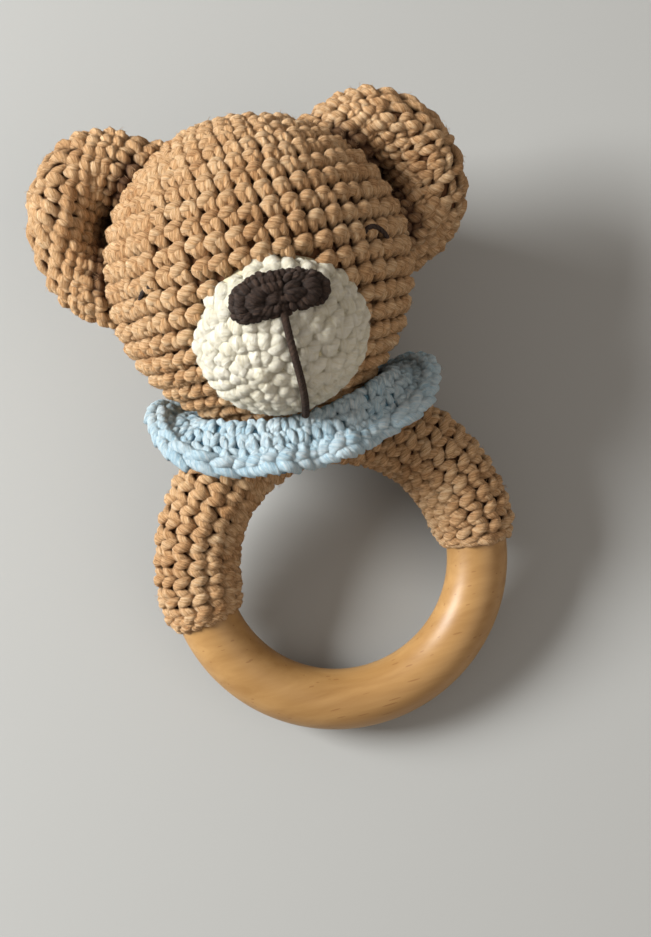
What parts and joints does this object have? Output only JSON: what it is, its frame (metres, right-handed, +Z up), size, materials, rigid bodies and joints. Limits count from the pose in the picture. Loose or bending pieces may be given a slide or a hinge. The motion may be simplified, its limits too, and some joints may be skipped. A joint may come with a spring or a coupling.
{
  "type": "baby rattle",
  "caption": "Crocheted bear-head rattle on a wooden ring: stuffed head with padded ears, muzzle and ruffled collar, sewn to a crocheted sleeve round the ring.",
  "frame": {"origin": "on the table plane, below the middle of the toy's bounding box", "axes": "The toy lies on its back: +Z up, out of the face; +Y from the ring towards the head; +X towards the ear on the right of the view from above. Ring and head are tipped 15.2 degrees about X."},
  "size_m": [0.0894, 0.1258, 0.0645],
  "materials": {
    "beech": "smooth sanded and oiled beech with short dark flecks",
    "brown_yarn": "crocheted cotton yarn, tan brown, matt",
    "cream_yarn": "crocheted cotton yarn, cream, matt",
    "blue_yarn": "crocheted cotton yarn, light blue, matt",
    "dark_yarn": "dark brown embroidery yarn, matt",
    "wadding": "white polyester wadding",
    "capsule_plastic": "clear moulded plastic",
    "pellet_plastic": "glossy moulded plastic"
  },
  "bodies": {
    "plush": {"ring_sleeve": "brown_yarn", "sleeve_seam": "brown_yarn", "head_shell": "brown_yarn", "stuffing_front": "wadding", "stuffing_back": "wadding", "capsule_front": "capsule_plastic", "capsule_back": "capsule_plastic", "muzzle_patch": "cream_yarn", "muzzle_stuffing": "wadding", "muzzle_seam": "cream_yarn", "nose": "dark_yarn", "mouth_thread": "dark_yarn", "eye_left": "dark_yarn", "eye_right": "dark_yarn", "ear_left_seam": "brown_yarn", "ear_right_seam": "brown_yarn", "neck_seam": "brown_yarn", "collar": "blue_yarn"},
    "ring": {"wood_ring": "beech"},
    "left_ear": {"ear_left": "brown_yarn"},
    "right_ear": {"ear_right": "brown_yarn"},
    "first_pellet": {"pellet_1": "pellet_plastic"},
    "second_pellet": {"pellet_2": "pellet_plastic"},
    "third_pellet": {"pellet_3": "pellet_plastic"},
    "fourth_pellet": {"pellet_4": "pellet_plastic"},
    "fifth_pellet": {"pellet_5": "pellet_plastic"}
  },
  "joints": [
    {"name": "ring_turn", "type": "hinge", "parent": "plush", "child": "ring", "pos_m": [-0.00096, -0.029, 0.01374], "axis": [0, -0.2617, 0.9651], "continuous": true},
    {"name": "left_ear_bend", "type": "hinge", "parent": "plush", "child": "left_ear", "pos_m": [-0.02611, 0.0441, 0.0346], "axis": [0.5225, 0.8229, 0.2232], "range_deg": [-10, 12], "stiffness_Nm_per_rad": 0.01},
    {"name": "right_ear_bend", "type": "hinge", "parent": "plush", "child": "right_ear", "pos_m": [0.02639, 0.03989, 0.03346], "axis": [0.3746, -0.8949, -0.2427], "range_deg": [-10, 12], "stiffness_Nm_per_rad": 0.01},
    {"name": "first_pellet_roll", "type": "hinge", "parent": "plush", "child": "first_pellet", "pos_m": [-0.00096, 0.02949, 0.0296], "axis": [1, 0, 0], "continuous": true},
    {"name": "second_pellet_roll", "type": "hinge", "parent": "plush", "child": "second_pellet", "pos_m": [-0.00096, 0.02949, 0.0296], "axis": [1, 0, 0], "continuous": true},
    {"name": "third_pellet_roll", "type": "hinge", "parent": "plush", "child": "third_pellet", "pos_m": [-0.00096, 0.02949, 0.0296], "axis": [1, 0, 0], "continuous": true},
    {"name": "fourth_pellet_roll", "type": "hinge", "parent": "plush", "child": "fourth_pellet", "pos_m": [-0.00096, 0.02949, 0.0296], "axis": [1, 0, 0], "continuous": true},
    {"name": "fifth_pellet_roll", "type": "hinge", "parent": "plush", "child": "fifth_pellet", "pos_m": [-0.00096, 0.02949, 0.0296], "axis": [1, 0, 0], "continuous": true}
  ]
}
